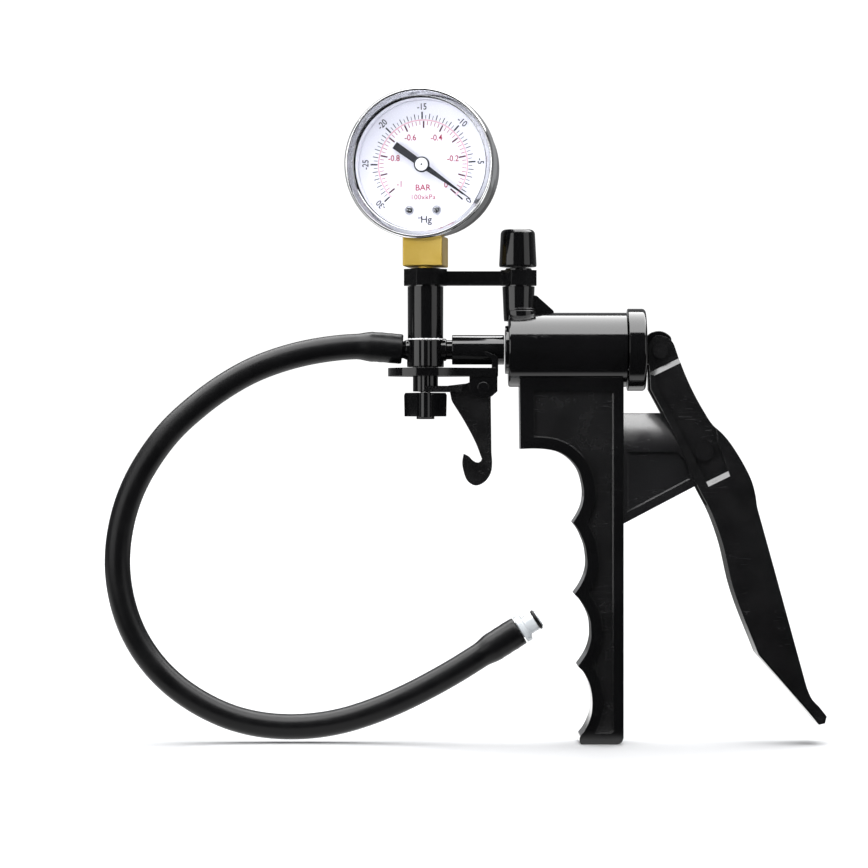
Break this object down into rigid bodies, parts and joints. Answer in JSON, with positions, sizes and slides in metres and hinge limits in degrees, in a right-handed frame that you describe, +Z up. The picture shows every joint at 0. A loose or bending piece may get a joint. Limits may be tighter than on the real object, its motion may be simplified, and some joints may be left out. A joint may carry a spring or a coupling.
{
  "type": "hand vacuum pump",
  "caption": "Pistol-grip hand vacuum pump with squeeze lever, dial vacuum gauge, finger-trigger release valve and a short hose with plug-in nozzle.",
  "frame": {"origin": "middle of the hand grip, where a hand holds the pump", "axes": "+Z up along the grip, +X from the release valve towards the squeeze lever along the barrel, -Y the side that the dial faces"},
  "size_m": [0.2084, 0.0319, 0.1886],
  "materials": {
    "gloss_black": "glossy injection-moulded ABS, near mirror",
    "grip_black": "gloss rims, slightly satin recessed panels",
    "satin_black": "satin moulded nylon",
    "black_rubber": "smooth matt rubber",
    "polished_steel": "polished, brushed round the rim",
    "black_enamel": "gloss black enamel on steel",
    "brass": "machined, slightly dulled",
    "clear_glass": "clear",
    "dial_white": "printed white",
    "pointer_black": "matt black enamel",
    "spring_steel": "bright zinc",
    "white_plastic": "natural white, slightly translucent"
  },
  "bodies": {
    "pump_body": {"barrel": "gloss_black", "barrel_cap": "gloss_black", "bourdon_tube": "brass", "bridge_bar": "gloss_black", "connecting_pipe": "gloss_black", "dial_screw_left": "spring_steel", "dial_screw_right": "spring_steel", "duckbill_valve": "black_rubber", "exhaust_spring": "spring_steel", "gauge_bezel": "polished_steel", "gauge_case": "black_enamel", "gauge_dial": "dial_white", "gauge_lens": "clear_glass", "gauge_post": "gloss_black", "gauge_socket": "brass", "grip": "grip_black", "hose": "black_rubber", "hose_nozzle": "white_plastic", "movement_plate": "brass", "nozzle_oring": "black_rubber", "pivot_bracket": "grip_black", "pivot_pin": "spring_steel", "plunger_spring": "spring_steel", "return_spring": "spring_steel", "trigger_bracket": "gloss_black", "trigger_pin": "spring_steel", "valve_body": "gloss_black"},
    "exhaust_knob": {"exhaust_knob": "gloss_black"},
    "exhaust_ball": {"exhaust_ball": "spring_steel"},
    "lever": {"squeeze_lever": "grip_black", "rod_pin": "spring_steel"},
    "piston_rod": {"piston_rod": "satin_black", "piston": "white_plastic", "piston_cup": "black_rubber"},
    "trigger": {"release_trigger": "satin_black"},
    "plunger": {"plunger_stem": "white_plastic", "plunger_oring": "black_rubber", "release_button": "gloss_black"},
    "pointer": {"pointer": "pointer_black", "pointer_hub": "dial_white", "pointer_spindle": "spring_steel"},
    "sector": {"sector_gear": "brass"}
  },
  "joints": [
    {"name": "lever_hinge", "type": "hinge", "parent": "pump_body", "child": "lever", "pos_m": [0.02842, 0, 0.0401], "axis": [0, 1, 0], "range_deg": [0, 30], "stiffness_Nm_per_rad": 0.385, "springref_deg": -18.33},
    {"name": "rod_slide", "type": "slide", "parent": "pump_body", "child": "piston_rod", "axis": [1, 0, 0], "range_m": [0, 0.01625], "deforming": ["return_spring"]},
    {"name": "trigger_hinge", "type": "hinge", "parent": "pump_body", "child": "trigger", "pos_m": [-0.0351, 0, 0.05866], "axis": [0, -1, 0], "range_deg": [0, 11.4], "stiffness_Nm_per_rad": 0.0385, "springref_deg": -21.49},
    {"name": "plunger_slide", "type": "slide", "parent": "pump_body", "child": "plunger", "axis": [0, 0, -1], "range_m": [0, 0.0032], "deforming": ["plunger_spring"]},
    {"name": "exhaust_ball_lift", "type": "slide", "parent": "pump_body", "child": "exhaust_ball", "axis": [0, 0, 1], "range_m": [0, 0.0008], "stiffness_N_per_m": 40, "springref_m": -0.001, "deforming": ["exhaust_spring"]},
    {"name": "exhaust_knob_turn", "type": "hinge", "parent": "pump_body", "child": "exhaust_knob", "pos_m": [-0.025, 0, 0.099], "axis": [0, 0, 1], "range_deg": [0, 360]},
    {"name": "sector_hinge", "type": "hinge", "parent": "pump_body", "child": "sector", "pos_m": [-0.05177, 0, 0.1139], "axis": [-0.1564, -0.9877, 0], "range_deg": [-22, 0], "stiffness_Nm_per_rad": 0.02},
    {"name": "pointer_hinge", "type": "hinge", "parent": "pump_body", "child": "pointer", "pos_m": [-0.05177, 0, 0.1229], "axis": [-0.1564, -0.9877, 0], "range_deg": [0, 264]}
  ],
  "couplings": [
    {"joint": "rod_slide", "follows": "lever_hinge", "m_per_rad": 0.03102},
    {"joint": "plunger_slide", "follows": "trigger_hinge", "m_per_rad": 0.016},
    {"joint": "pointer_hinge", "follows": "sector_hinge", "ratio": -12}
  ]
}
